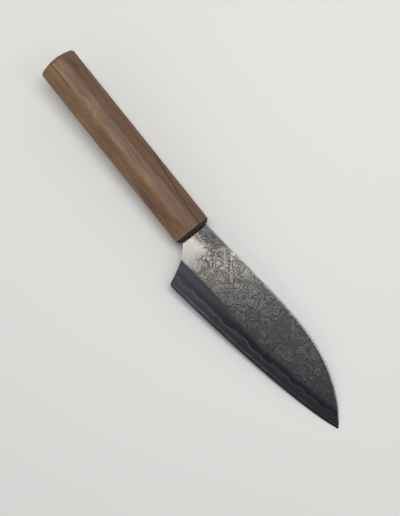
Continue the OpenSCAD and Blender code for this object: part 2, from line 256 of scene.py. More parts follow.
class StageSettings(bpy.types.PropertyGroup):
    """Floor, lamps and camera."""

    floor: paint("Floor", "Colour of the floor and of the backdrop", 226, 226, 224)
    fade_start: length("Fade start", "Distance at which the floor starts to show its own colour", 220)
    fade_end: length("Fade end", "Distance from which the floor shows only its own colour", 500)
    key_power: power("Key lamp", "Power of the soft box over the handle", 4.9)
    rim_power: power("Rim lamp", "Power of the soft box beyond the spine", 0.65)
    camera_x: length("Camera along", "Place of the camera along the handle's axis", 79.05)
    camera_y: length("Camera across", "Place of the camera across the handle's axis", -6.5)
    camera_height: length("Camera height", "Height of the camera over the blade's middle plane", 600)
    camera_turn: angle("Camera turn", "Turn of the camera about its line of sight", 51.26)
    lens: bpy.props.FloatProperty(
        name="Lens", description="Focal length of the camera", default=71.16, unit="CAMERA"
    )


# Meshes


def mesh_through(rings):
    """Closed skin through a stack of closed rings, as an array of rings by points by three.

    Point j of ring i joins point j + 1 of its own ring and the same two points of ring i + 1 in one
    quad; the first and the last ring are capped. The volume's sign then says which way the faces look,
    and they are turned outwards.
    """
    count_i, count_j = rings.shape[:2]
    start = np.arange(count_i - 1)[:, None] * count_j
    here = np.arange(count_j)[None, :]
    after = (here + 1) % count_j
    quads = np.stack(
        [start + here, start + after, start + count_j + after, start + count_j + here], axis=-1
    ).reshape(-1, 4)
    points = rings.reshape(-1, 3)
    corner = points[quads] - points.mean(axis=0)
    volume = np.einsum("ij,ij->i", corner[:, 0], np.cross(corner[:, 1], corner[:, 2])).sum()
    volume += np.einsum("ij,ij->i", corner[:, 0], np.cross(corner[:, 2], corner[:, 3])).sum()
    caps = [np.arange(count_j)[::-1], (count_i - 1) * count_j + np.arange(count_j)]
    faces = [*quads.tolist(), *[cap.tolist() for cap in caps]]
    if volume < 0:
        faces = [face[::-1] for face in faces]
    return points, faces


def put(name, data, place=(0.0, 0.0, 0.0), turn=(0.0, 0.0, 0.0)):
    """An object of the scene that carries the data, at a place and a turn."""
    held = bpy.data.objects.new(name, data)
    held.location, held.rotation_euler = place, turn
    bpy.context.scene.collection.objects.link(held)
    return held


def add_piece(name, rings, attributes, replaced, material, sharp):
    """Puts a skin through rings into the scene as a piece that stands for one CAD node.

    Attributes are arrays with one row for each point, of one or three numbers, kept on the mesh. Edges
    that turn by more than the sharp angle, in degrees, stay sharp.
    """
    points, faces = mesh_through(rings)
    mesh = bpy.data.meshes.new(name)
    mesh.from_pydata(points.tolist(), [], faces)
    mesh.shade_smooth()
    mesh.set_sharp_from_angle(angle=math.radians(sharp))
    for key, values in attributes.items():
        values = np.asarray(values, np.float32).reshape(len(points), -1)
        kind, field = ("FLOAT_VECTOR", "vector") if values.shape[1] == 3 else ("FLOAT", "value")
        mesh.attributes.new(key, kind, "POINT").data.foreach_set(field, values.ravel())
    if mesh.validate():
        raise RuntimeError(f"the mesh of {name} was not sound")
    mesh.materials.append(material)
    piece = put(name, mesh)
    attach(piece, "root")
    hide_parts(replaced)


# Blade, where s is a distance from the handle along the spine's line and t a depth below that line


def eased(x, start, span, form):
    """Part of a quarter superellipse, 1 - (1 - u^form)^(1/form), level at its start and then steeper."""
    u = np.clip((x - start) / span, 0, 1)
    return 1 - (1 - u**form) ** (1 / form)


def spine_at(b, s):
    """Depth of the spine below its straight line: nothing at first, and eased down to the point."""
    start = b.tip_x * b.spine_bend
    span = (b.tip_x - start) / b.spine_reach
    form = b.spine_form
    return b.tip_drop * eased(s, start, span, form) / eased(b.tip_x, start, span, form)


def edge_at(b, s):
    """Depth of the edge: a straight rise from the heel and an eased one to the point."""
    start = b.tip_x * b.edge_bend
    span = (b.tip_x - start) / b.edge_reach
    rise = b.heel_h - b.tip_drop
    return (
        b.heel_h
        - rise * b.edge_straight * (s - b.heel_x) / (b.tip_x - b.heel_x)
        - rise * (1 - b.edge_straight) * eased(s, start, span, 2) / eased(b.tip_x, start, span, 2)
    )


def past_heel(b, s):
    """Share of the way from the heel to the point, 0 before the heel."""
    return np.maximum(0, s - b.heel_x) / (b.tip_x - b.heel_x)


def spine_half(b, s):
    """Half thickness of the spine: constant to the heel, then a straight taper."""
    return b.neck_t / 2 + (b.tip_t - b.neck_t) / 2 * past_heel(b, s)


def bevel_at(b, s):
    """Height of the wide bevel above the edge: a straight change from the heel to the point."""
    return b.bevel_h + (b.bevel_tip_h - b.bevel_h) * past_heel(b, s)


def ease_width(b, s):
    """Width of the spine's easing, which spreads evenly towards the point."""
    return b.spine_ease + (b.tip_ease_w - b.spine_ease) * past_heel(b, s)


def half_at(b, s, t):
    """Half thickness: a straight fine bevel, a convex wide one and a flat that thickens to the spine."""
    above = edge_at(b, s) - t
    top, full = bevel_at(b, s), spine_half(b, s)
    waist, fine = full * b.waist, b.fine_bevel_t / 2
    honed = b.edge_t / 2 + (fine - b.edge_t / 2) * np.clip(above / b.fine_bevel_h, 0, 1)
    up = np.clip((above - b.fine_bevel_h) / (top - b.fine_bevel_h), 0, 1)
    ground = fine + (waist - fine) * (1 - (1 - up) ** b.bevel_roundness)
    room = np.maximum(edge_at(b, s) - spine_at(b, s) - top, TINY)
    flat = waist + (full - waist) * (above - top) / room
    return np.where(above <= b.fine_bevel_h, honed, np.where(above <= top, ground, flat))


def line_at(b, s, side):
    """Height of the lamination line above the edge: a mean height and two sine waves."""
    turn = 2 * np.pi * (s + side * b.lam_shift) / b.lam_wave_len
    return b.lam_h + b.lam_wave_h * (
        WAVE_SHARES[0] * np.sin(turn) + WAVE_SHARES[1] * np.sin(turn / WAVE_LENGTH_SHARE)
    )


def core_half(b, s, t, side):
    """Half thickness of the core: the whole blade's below the lamination line, its own share above it.

    Over the height SETTLE it falls evenly from the first to the second.
    """
    above = edge_at(b, s) - t
    line = line_at(b, s, side)
    own = spine_half(b, s) * b.core_share
    at_line = half_at(b, s, edge_at(b, s) - line) - FEATHER
    settled = own + (at_line - own) * np.maximum(0, 1 - np.maximum(0, above - line) / SETTLE)
    return np.where(above <= line, half_at(b, s, t), np.minimum(half_at(b, s, t) - FEATHER, settled))


def clad_end(b):
    """Distance at which the claddings run out, where their height has shrunk to STRIP_END."""
    s = np.linspace(b.heel_x, b.tip_x, END_POINTS)
    room = edge_at(b, s) - spine_at(b, s)
    left = np.minimum(room - line_at(b, s, 0), room - line_at(b, s, 1))
    return s[np.argmax(left < STRIP_END)]


def choil(b, u):
    """Path from the foot of the neck to the edge, for u from 0 to 1.

    Up to HEEL_PLACE it is a cubic Bezier curve to the heel, pulled towards the hollow of the choil, and
    stops short of the heel; from there a quadratic one rounds the corner.
    """
    foot = np.array([-b.neck_h * math.sin(b.pitch), b.neck_h * math.cos(b.pitch)])
    hollow, heel = np.array([b.choil_x, b.choil_depth]), np.array([b.heel_x, b.heel_h])
    pulls = foot + (hollow - foot) * b.choil_pull, heel + (hollow - heel) * b.choil_pull
    stop = 1 - b.heel_round / (3 * np.linalg.norm(heel - pulls[1]))

    def curve(w):
        v = 1 - w
        return foot * v**3 + pulls[0] * 3 * w * v * v + pulls[1] * 3 * w * w * v + heel * w**3

    s_end = b.heel_x + b.heel_round
    end = np.array([s_end, edge_at(b, s_end)])
    w = np.clip(np.asarray(u)[..., None] / HEEL_PLACE, 0, 1) * stop
    r = np.clip((np.asarray(u)[..., None] - HEEL_PLACE) / (1 - HEEL_PLACE), 0, 1)
    rounded = curve(stop) * (1 - r) ** 2 + heel * 2 * r * (1 - r) + end * r * r
    return np.where(r > 0, rounded, curve(w))


def stations(b, end, side):
    """Sections of the blade: each is a straight line from the choil or the edge up to the spine.

    Along the choil their upper ends run evenly along the spine to above the heel, and a section stands
    where the lamination line and the top of the bevel meet the choil. From the heel on, they stand
    square to the spine's line.
    """
    path = np.linspace(0, 1, SEARCH_POINTS)
    along, depth = choil(b, path).T
    above = edge_at(b, along) - depth
    meets = [path[np.argmax(above < height)] for height in (bevel_at(b, along), line_at(b, along, side))]
    even = np.linspace(0, HEEL_PLACE, CHOIL_STEPS[0]), np.linspace(HEEL_PLACE, 1, CHOIL_STEPS[1])
    u = np.unique(np.concatenate([*even, meets]))
    past = b.heel_x + b.heel_round
    s = np.linspace(past, end, b.steps)[1:]
    low = np.concatenate([choil(b, u), np.stack([s, edge_at(b, s)], axis=1)])
    upper = np.concatenate([past * u, s])
    return low, np.stack([upper, spine_at(b, upper)], axis=1)


def meeting(b, low, high, height):
    """Share of the way up each section at which a height above the edge is reached, found by halving."""
    near, far = np.zeros(len(low)), np.ones(len(low))
    for _ in range(HALVINGS):
        middle = (near + far) / 2
        s, t = (low + (high - low) * middle[:, None]).T
        under = edge_at(b, s) - t < height(s)
        near, far = np.where(under, middle, near), np.where(under, far, middle)
    return (near + far) / 2


def rows_through(marks, steps):
    """Shares of the way up every section, in even steps from each mark to the next: sections by rows."""
    rows = [
        start[:, None] + (end - start)[:, None] * np.linspace(0, 1, number + 1)[None, :-1]
        for start, end, number in zip(marks, marks[1:], steps)
    ]
    return np.concatenate([*rows, marks[-1][:, None]], axis=1)


def on_sections(low, high, v):
    """Distances and depths of the points at the shares v of the way up the sections."""
    p = low[:, None, :] + (high - low)[:, None, :] * v[..., None]
    return p[..., 0], p[..., 1]


def placed(b, h, s, t, z):
    """Points given along the spine, below it and out of the middle plane, in the knife's frame.

    They are turned by the pitch and moved to the handle's front.
    """
    return np.stack(
        [
            h.length / 2 + s * math.cos(b.pitch) + t * math.sin(b.pitch),
            b.neck_h / 2 + s * math.sin(b.pitch) - t * math.cos(b.pitch),
            h.thickness / 2 + z,
        ],
        axis=-1,
    )


def tang_rings(b, h, shares, z):
    """Rings of one layer of the tang, with as many points as the blade's rings.

    The tang's outline is a half circle at its end and a straight taper from there. Shares run from its
    bottom, 0, to its top, 1, on each section's own height; z is out of the middle plane.
    """
    radius = b.tang_end_h / 2
    round_x = radius - b.tang_len
    turn = np.radians(np.linspace(TANG_TIP_TURN, 90, TANG_STEPS[0]))
    x = np.concatenate([round_x - radius * np.cos(turn), np.linspace(round_x, 0, TANG_STEPS[1])[1:]])
    half = np.where(
        x < round_x,
        radius * np.sqrt(np.maximum(0, 1 - ((x - round_x) / radius) ** 2)),
        radius + (b.tang_front_h / 2 - radius) * (x - round_x) / (ROOT - round_x),
    )
    y = -half[:, None] + 2 * half[:, None] * shares[None, :]
    x, z = np.broadcast_arrays(h.length / 2 + x[:, None], h.thickness / 2 + z[None, :])
    return np.stack([x, y, z], axis=-1)


def blade_marks(b, s, t, side, foot, tang_count):
    """Attributes that the steel's patterns follow, in millimetres, for the tang's points and the blade's.

    blade_place holds the distance from the handle, the height above the edge, and the height as a share
    of the bevel's; blade_rims holds the height above the lamination line, the depth below the spine and
    the distance from the section's foot on the choil or the edge.
    """
    above = edge_at(b, s) - t
    place = np.stack([s / MM, above / MM, above / bevel_at(b, s)], axis=-1)
    rims = np.stack([above - line_at(b, s, side), t - spine_at(b, s), foot], axis=-1) / MM
    tang = np.ones((tang_count, *s.shape[1:], 1))
    return {
        "blade_place": np.concatenate([tang * TANG_PLACE, place]),
        "blade_rims": np.concatenate([tang * TANG_RIMS, rims]),
    }


def core_rings(b, h):
    """Rings of the hard core, from the tang's end to the point, and the marks of their points.

    Each ring goes up the right face and down the left one. Rows stand on the fine bevel's top, on the
    lamination line and where the core has settled to its own thickness under the cladding.
    """
    end = clad_end(b)
    bare_s = np.concatenate([[end + TINY], np.linspace(end, b.tip_x - TIP_LAND, BARE_STEPS)[1:]])
    low, high = stations(b, end, 0)
    bare = (np.arange(len(low) + len(bare_s)) >= len(low))[:, None]
    low = np.concatenate([low, np.stack([bare_s, edge_at(b, bare_s)], axis=1)])
    high = np.concatenate([high, np.stack([bare_s, spine_at(b, bare_s)], axis=1)])
    size = np.linalg.norm(high - low, axis=1)[:, None]
    zero, one = np.zeros(len(low)), np.ones(len(low))

    up = np.linspace(0, 1, sum(CORE_ROWS) + 1)
    tang_z = b.neck_t / 2 * b.core_share
    tang = tang_rings(b, h, np.concatenate([up, up[::-1]]), np.repeat([tang_z, -tang_z], len(up)))
    faces, marks = [], []
    for side, turn in ((0, 1), (1, -1)):
        line = np.clip(meeting(b, low, high, lambda s: line_at(b, s, side)), *LINE_RANGE)
        fine = meeting(b, low, high, lambda s: b.fine_bevel_h)
        fine = np.clip(fine, line * FINE_RANGE[0], line * FINE_RANGE[1])
        settle = meeting(b, low, high, lambda s: line_at(b, s, side) + SETTLE)
        settle = np.clip(settle, line + ROOM, SETTLE_TOP)
        v = rows_through([zero, fine, line, settle, one], CORE_ROWS)[:, ::turn]
        s, t = on_sections(low, high, v)
        z = np.where(bare, half_at(b, s, t), core_half(b, s, t, side))
        faces.append((s, t, turn * z))
        marks.append(blade_marks(b, s, t, side, v * size, len(tang)))
    s, t, z = (np.concatenate(pair, axis=1) for pair in zip(*faces))
    rings = np.concatenate([tang, placed(b, h, s, t, z)])
    return rings, {key: np.concatenate([mark[key] for mark in marks], axis=1) for key in marks[0]}


def cladding_rings(b, h, side):
    """Rings of the cladding of one face, from the tang's end to where it runs out, and their marks.

    Each ring goes up the outer face from the lamination line over the bevel and the flat, round the
    eased corner of the spine, a quarter ellipse, and down the inner face against the core.
    """
    low, high = stations(b, clad_end(b), side)
    one = np.ones(len(low))
    line = meeting(b, low, high, lambda s: line_at(b, s, side))
    line[line < NOTHING] = 0
    size = np.linalg.norm(high - low, axis=1)
    upper, depth = high.T
    skin = half_at(b, upper, depth) - core_half(b, upper, depth, side)
    drop = np.minimum(b.spine_ease, skin / 2)
    slope = np.gradient(depth, upper)
    reach = np.minimum(ease_width(b, upper) * np.sqrt(1 + slope**2) / size, (1 - line) * EASE_MOST)
    shoulder = one - reach
    bevel = meeting(b, low, high, lambda s: bevel_at(b, s))
    bevel = np.clip(bevel, line + ROOM, line + (shoulder - line) * BEVEL_MOST)
    settle = meeting(b, low, high, lambda s: line_at(b, s, side) + SETTLE)
    settle = np.clip(settle, *(line + (one - line) * part for part in SETTLE_RANGE))

    turn = np.radians(np.linspace(0, 90, EASE_ROWS + 1))[None, 1:]
    corner = shoulder[:, None] + reach[:, None] * np.sin(turn)
    outer = np.concatenate(
        [rows_through([line, bevel, shoulder], (BEVEL_ROWS, FLAT_ROWS)), corner], axis=1
    )
    inner = rows_through([one, settle, line], INNER_ROWS)
    v = np.concatenate([outer, inner], axis=1)
    rows = outer.shape[1], inner.shape[1]
    s, t = on_sections(low, high, v)
    z = half_at(b, s, t)
    under_core = z[:, rows[0]:] - FEATHER
    z[:, rows[0]:] = np.minimum(core_half(b, s, t, side)[:, rows[0]:], under_core)
    z[:, rows[0] - EASE_ROWS:rows[0]] -= drop[:, None] * (1 - np.cos(turn))

    facing = -1 if side else 1
    shares = np.concatenate([np.linspace(0, 1, rows[0]), np.linspace(1, 0, rows[1])])
    tang_z = np.repeat([b.tang_t / 2, b.neck_t / 2 * b.core_share], rows)
    tang = tang_rings(b, h, shares, facing * tang_z)
    rings = np.concatenate([tang, placed(b, h, s, t, facing * z)])
    return rings, blade_marks(b, s, t, side, v * size[:, None], len(tang))


# Handle


def handle_ring(h, x, inset, part):
    """Outline of the handle at a place x along it, or a part of it, scaled towards the axis.

    It has eight flats with arcs between them, drawn in by inset. Each corner's arc is centred where the
    two flats, moved in by the inset and the radius, meet; the radius shrinks with the inset. A point on
    each flat close to its arc keeps the flat's shading flat.
    """
    half_h, half_t = h.height / 2, h.thickness / 2
    flat, side = half_h * h.flat, half_t * h.side
    slant = np.array([half_t - side, half_h - flat])
    slant = slant / np.linalg.norm(slant)
    slant_d = flat * slant[0] + half_t * slant[1]
    out = np.array(
        [[1, 0], slant, [0, 1], [-slant[0], slant[1]], [-1, 0], -slant, [0, -1], [slant[0], -slant[1]]]
    )
    radius = max(h.edge_r - inset, h.corner_r)
    away = np.array([half_h, slant_d, half_t, slant_d] * 2) - inset - radius
    following, behind = np.roll(out, -1, axis=0), np.roll(away, -1)
    cross = out[:, 0] * following[:, 1] - out[:, 1] * following[:, 0]
    centre = np.stack(
        [
            (away * following[:, 1] - behind * out[:, 1]) / cross,
            (out[:, 0] * behind - following[:, 0] * away) / cross,
        ],
        axis=1,
    )
    start = np.arctan2(out[:, 1], out[:, 0])[:, None]
    turn = np.arccos((out * following).sum(axis=1))[:, None]
    w = start + turn * np.linspace(0, 1, h.edge_steps)[None, :]
    arc = centre[:, None, :] + radius * np.stack([np.cos(w), np.sin(w)], axis=-1)
    back = np.stack([out[:, 1], -out[:, 0]], axis=1) * FLAT_LEAD
    ahead = np.stack([-following[:, 1], following[:, 0]], axis=1) * FLAT_LEAD
    ring = np.concatenate([arc[:, :1] + back[:, None], arc, arc[:, -1:] + ahead[:, None]], axis=1)
    ring = ring.reshape(-1, 2) * part
    return np.concatenate([np.full((len(ring), 1), x), ring], axis=1)


def drawn_in(u, roundness):
    """How far an eased end is drawn in, at a share u of its depth from the end face: a superellipse."""
    return 1 - (1 - (1 - u) ** roundness) ** (1 / roundness)


def domed(h, inset, part=1.0):
    """How far the butt's face falls back at a ring drawn in by inset and scaled by part: a parabola."""
    out = part * (1 - inset / (h.height / 2))
    return h.butt_dome * (out**2 - DOME_FLAT**2) / (1 - DOME_FLAT**2)


def handle_rings(h):
    """Rings of the handle: butt face, eased butt, body, eased front, front face and walls of the bore.

    With them comes how far each point shows end grain: fully on the front's eased edge and face and in
    the bore, and partly on the butt.
    """
    steps = np.linspace(0, 1, h.end_steps + 1)
    profile = [
        (-h.length + domed(h, h.butt_ease, part), h.butt_ease, part, BUTT_GRAIN)
        for part in np.linspace(DOME_FLAT, 1, h.end_steps + 1)[:-1]
    ]
    for u in steps:
        inset = h.butt_ease * drawn_in(u, h.butt_roundness)
        profile.append((-h.length + domed(h, inset) + h.butt_ease * u, inset, 1, BUTT_GRAIN * (1 - u)))
    profile += [(-h.length / 2, 0, 1, 0), (-h.front_ease - CREASE, 0, 1, 0)]
    for u in steps[::-1]:
        profile.append((-h.front_ease * u, h.front_ease * drawn_in(u, h.front_roundness), 1, 1))
    rings = [handle_ring(h, x, inset, part) for x, inset, part, _ in profile]
    mouth = rings[-1][:, 1:]
    turn = np.arctan2(mouth[:, 1], mouth[:, 0])
    bore = np.stack([0 * turn, np.cos(turn) * h.bore_d / 2, np.sin(turn) * h.bore_d / 2], axis=1)
    rings += [bore, bore - [h.bore_len, 0, 0]]
    grain = np.array([entry[3] for entry in profile] + [1, 1])
    rings = np.array(rings) + [h.length / 2, 0, h.thickness / 2]
    return rings, {"end_grain_and_shade": np.repeat(grain, rings.shape[1])}


# Shader nodes


class Nodes:
    """Adds nodes to one node tree, side by side, and links them. A value may be a number or an output."""

    def __init__(self, tree):
        self.tree = tree
        self.made = 0

    def give(self, socket, value):
        """Links an output to a socket, or sets a constant on it."""
        if isinstance(value, bpy.types.NodeSocket):
            self.tree.links.new(value, socket)
        else:
            socket.default_value = value

    def add(self, kind, inputs=(), **settings):
        """A new node with its settings and inputs."""
        node = self.tree.nodes.new(kind)
        node.location = (self.made % 12 * 190, -(self.made // 12) * 320)
        self.made += 1
        for key, value in settings.items():
            setattr(node, key, value)
        for key, value in dict(inputs).items():
            self.give(node.inputs[key], value)
        return node

    def math(self, operation, *values, clamp=False):
        """Result of a Math node."""
        node = self.add("ShaderNodeMath", enumerate(values), operation=operation, use_clamp=clamp)
        return node.outputs[0]

    def plus(self, first, *others):
        """Sum of values, from left to right."""
        for other in others:
            first = self.math("ADD", first, other)
        return first

    def minus(self, first, second):
        """First value less the second."""
        return self.math("SUBTRACT", first, second)

    def times(self, first, *others):
        """Product of values, from left to right."""
        for other in others:
            first = self.math("MULTIPLY", first, other)
        return first

    def between(self, value, low, high, to_low=0.0, to_high=1.0):
        """A smooth step of a value, from to_low at low to to_high at high."""
        inputs = {"Value": value, "From Min": low, "From Max": high, "To Min": to_low, "To Max": to_high}
        return self.add("ShaderNodeMapRange", inputs, interpolation_type="SMOOTHSTEP").outputs["Result"]

    def band(self, value, start, full, still, end):
        """1 from full to still, with smooth steps to 0 at start and at end."""
        return self.times(self.between(value, start, full), self.between(value, end, still))

    def vector(self, operation, *values, **named):
        """Vector result of a Vector Math node."""
        inputs = {**dict(enumerate(values)), **named}
        return self.add("ShaderNodeVectorMath", inputs, operation=operation).outputs[0]

    def distance(self, vector):
        """Length of a vector."""
        return self.add("ShaderNodeVectorMath", {0: vector}, operation="LENGTH").outputs["Value"]

    def join(self, x, y, z=0.0):
        """A vector from values."""
        return self.add("ShaderNodeCombineXYZ", {"X": x, "Y": y, "Z": z}).outputs[0]

    def parts(self, vector):
        """The three values of a vector."""
        return self.add("ShaderNodeSeparateXYZ", {0: vector}).outputs

    def place(self):
        """Object coordinates."""
        return self.add("ShaderNodeTexCoord").outputs["Object"]

    def noise(self, vector, scale, detail=2.0, roughness=0.5, output="Fac"):
        """A Noise Texture's value, about 0.5; scale is one or three counts of cycles for each unit."""
        if isinstance(scale, tuple):
            vector, scale = self.vector("MULTIPLY", vector, scale), 1.0
        inputs = {"Vector": vector, "Scale": scale, "Detail": detail, "Roughness": roughness}
        return self.add("ShaderNodeTexNoise", inputs).outputs[output]

    def shake(self, vector, scale, detail=1.0, roughness=0.5):
        """A vector of three noises, each about 0."""
        noises = self.noise(vector, scale, detail, roughness, "Color")
        return self.vector("SUBTRACT", noises, (0.5, 0.5, 0.5))

    def bump(self, height, strength, distance):
        """Normals of a relief."""
        inputs = {"Height": height, "Strength": strength, "Distance": distance}
        return self.add("ShaderNodeBump", inputs).outputs[0]

    def mix(self, factor, first, second):
        """A mix of two colours, each an output or three numbers."""
        node = self.add("ShaderNodeMix", data_type="RGBA", clamp_factor=True)
        self.give(node.inputs[0], factor)
        for index, value in ((6, first), (7, second)):
            is_output = isinstance(value, bpy.types.NodeSocket)
            self.give(node.inputs[index], value if is_output else (*value, 1.0))
        return node.outputs[2]

    def laid(self, colour, layer, *masks):
        """A colour with a layer laid over it, as much as the masks' product says."""
        return self.mix(self.times(*masks), colour, layer)

    def finish(self, shader, **values):
        """Gives the shader's sockets their values. Underlines stand for spaces."""
        for key, value in values.items():
            self.give(shader.inputs[spaced(key)], value)


def spaced(key):
    """A socket's name, from a keyword with underlines."""
    return key.replace("_", " ")


def new_material(name):
    """A material, its Nodes and its Principled BSDF."""
    material = bpy.data.materials.new(name)
    material.use_nodes = True
    n = Nodes(material.node_tree)
    n.made = len(material.node_tree.nodes)
    return material, n, material.node_tree.nodes["Principled BSDF"]


def node_group(name, **inputs):
    """Turns a function that adds nodes and returns outputs by name into one that places a node group.

    The group is built once, when a material first asks for it. Its inputs are given with their defaults,
    which are three numbers for a vector, and underlines in their names stand for spaces.
    """

    def new_tree(build):
        tree = bpy.data.node_groups.new(name, "ShaderNodeTree")
        for key, value in inputs.items():
            kind = "NodeSocketVector" if isinstance(value, tuple) else "NodeSocketFloat"
            socket = tree.interface.new_socket(spaced(key), in_out="INPUT", socket_type=kind)
            socket.default_value = value
        n = Nodes(tree)
        made = build(n, *n.add("NodeGroupInput").outputs[:len(inputs)])
        for title in made:
            tree.interface.new_socket(title, in_out="OUTPUT", socket_type="NodeSocketFloat")
        n.add("NodeGroupOutput", made)
        return tree

    def wrap(build):
        def place(n, **values):
            tree = bpy.data.node_groups.get(name) or new_tree(build)
            given = {spaced(key): value for key, value in values.items()}
            return n.add("ShaderNodeGroup", given, node_tree=tree).outputs

        place.__doc__ = build.__doc__
        return place

    return wrap


# Steel, whose patterns take millimetres on the blade and then strengths from 0 to 1


def blade_attributes(n, h):
    """Outputs of the numbers that blade_marks puts on the mesh, of the side and of the place along X.

    The side is 1 on the left face; the place counts from the handle's front, in metres.
    """
    found = {}
    for attribute, titles in (
        ("blade_place", ("along", "above", "bevel")), ("blade_rims", ("over", "under", "foot"))
    ):
        vector = n.add("ShaderNodeAttribute", attribute_name=attribute).outputs["Vector"]
        found |= dict(zip(titles, n.parts(vector)))
    x, _, z = n.parts(n.place())
    found["left"] = n.math("LESS_THAN", z, h.thickness / 2)
    found["from_handle"] = n.minus(x, h.length / 2)
    return found


def layer_height(n, place):
    """Height field of the layers at a place: a broad and a finer noise, both warped by two others."""
    bent = n.vector("ADD", place, n.vector("MULTIPLY", n.shake(place, 0.08), (10.0, 10.0, 10.0)))
    curled = n.vector("ADD", bent, n.vector("MULTIPLY", n.shake(bent, 0.36), (2.2, 2.2, 2.2)))
    return n.plus(n.times(n.noise(curled, 0.09, 0.0), 4.0), n.times(n.noise(curled, 0.26, 0.0), 3.6))


def contours(n, field, slope, faded, full):
    """Lines where a field is a whole number, by the distance from there: none at faded, whole at full."""
    return n.between(n.math("DIVIDE", n.math("PINGPONG", field, 0.5), slope), faded, full)


@node_group("Layer figure", Along=0.0, Above=0.0, Bevel_share=0.0, Left=0.0)
def layer_figure(n, along, above, bevel, left):
    """Figure of the layered steel, and how far the ground bevel hides it.

    Where the surface cuts the height field of the layers, each whole number of it is one dark layer and
    each half one a pale layer, so its contours make rings and swirls, fewer towards the point. Four
    times as many contours make fine lines between them. The field's differences over a short step turn
    its value into a distance from the nearest contour, which makes all lines of a kind equally wide. A
    plain noise makes a mesh of thin lines. The bevel's upper border is crisp at the heel, and soft and
    wavy further on.
    """
    apart = n.times(left, SIDES_APART)
    wave = n.minus(n.noise(n.join(along, 0.0, apart), 0.11, 2.0, 0.6), 0.5)
    border = n.plus(bevel, n.times(wave, n.between(along, 30.0, 80.0, 0.06, 0.30)))
    lower = n.between(along, 25.0, 75.0, 0.95, 0.56)
    upper = n.between(along, 25.0, 75.0, 1.03, 1.18)

    place = n.vector("ADD", n.join(along, above, apart), (LAYER_SEED, 0.0, 0.0))
    field = layer_height(n, place)
    rises = [
        n.math("DIVIDE", n.minus(layer_height(n, n.vector("ADD", place, step)), field), FIELD_STEP)
        for step in ((FIELD_STEP, 0.0, 0.0), (0.0, FIELD_STEP, 0.0))
    ]
    slope = n.math("SQRT", n.plus(*(n.times(rise, rise) for rise in rises)))
    fewer = n.between(along, 20.0, 80.0, 1.0, 0.55)
    field, slope = n.times(field, fewer), n.math("MAXIMUM", n.times(slope, fewer), LEAST_SLOPE)
    fine = n.noise(place, 0.55, 0.0, 0.6)
    return {
        "Lines": contours(n, field, slope, 0.34, 0.12),
        "Pale lines": contours(n, n.plus(field, 0.5), slope, 0.38, 0.12),
        "Fine lines": contours(n, n.times(field, 4.0), n.times(slope, 4.0), 0.2, 0.06),
        "Mesh": n.between(n.math("PINGPONG", n.times(fine, 2.6), 0.5), 0.22, 0.06),
        "Bands": n.between(n.noise(place, 0.10, 3.0, 0.6), 0.3, 0.7),
        "On flat": n.between(border, lower, upper),
    }


@node_group("Bevel tones", Along=0.0, Above=0.0, Over_line=0.0, Left=0.0)
def bevel_tones(n, along, above, over, left):
    """Tone of the ground bevel, from 0 where it is darkest to 1.

    A light line runs evenly above the edge and a wavy one above the lamination line, both uneven and
    fading to the point; above them the bevel is darkest and then lightens towards its upper border.
    """
    apart = n.times(left, SIDES_APART)
    drift = n.minus(n.noise(n.join(n.times(along, 0.5), over, apart), 0.2, 3.0, 0.6), 0.5)
    low, high = n.plus(above, n.times(drift, 1.6)), n.plus(over, n.times(drift, 7.0))
    uneven = n.between(n.noise(n.join(along, above, apart), 0.05, 2.0, 0.7), 0.35, 0.65, 0.25, 0.7)
    lines = n.plus(n.band(low, 0.9, 1.9, 2.1, 3.0), n.band(high, 0.4, 1.4, 1.5, 2.6))
    lines = n.times(lines, uneven, n.between(along, 60.0, 132.0, 1.0, 0.3))
    near = n.between(along, 75.0, 10.0, 0.0, 0.22)
    crown = n.times(n.band(above, 8.5, 11.5, 12.5, 14.5), n.between(along, 75.0, 30.0, 0.0, 0.16))
    rise = n.times(n.between(over, 4.5, 11.0), n.between(along, 30.0, 75.0, 0.0, 0.26))
    base = n.between(high, 4.2, 0.0, 0.0, 0.15)
    return {"Tone": n.math("ADD", n.plus(lines, near, crown), n.plus(rise, base), clamp=True)}


@node_group("Satin scratches", Along=0.0, Above=0.0)
def satin_scratches(n, along, above):
    """Fine scratches of a hand finish along the blade: a stretched noise."""
    return {"Scratch": n.noise(n.join(n.times(along, 0.25), n.times(above, 5.0)), 1.0, 3.0, 0.6)}


def bevel_colour(n, f, at):
    """Colour of the ground bevel: its tone, and a bright worn rim along the edge and the choil."""
    tone = bevel_tones(n, Along=at["along"], Above=at["above"], Over_line=at["over"], Left=at["left"])
    colour = n.mix(tone["Tone"], f.bevel_dark, f.bevel_light)
    near = n.between(at["along"], 90.0, 20.0, 0.1, 0.8)
    return n.laid(colour, f.edge_bright, n.between(at["foot"], *WORN_RIM), near)


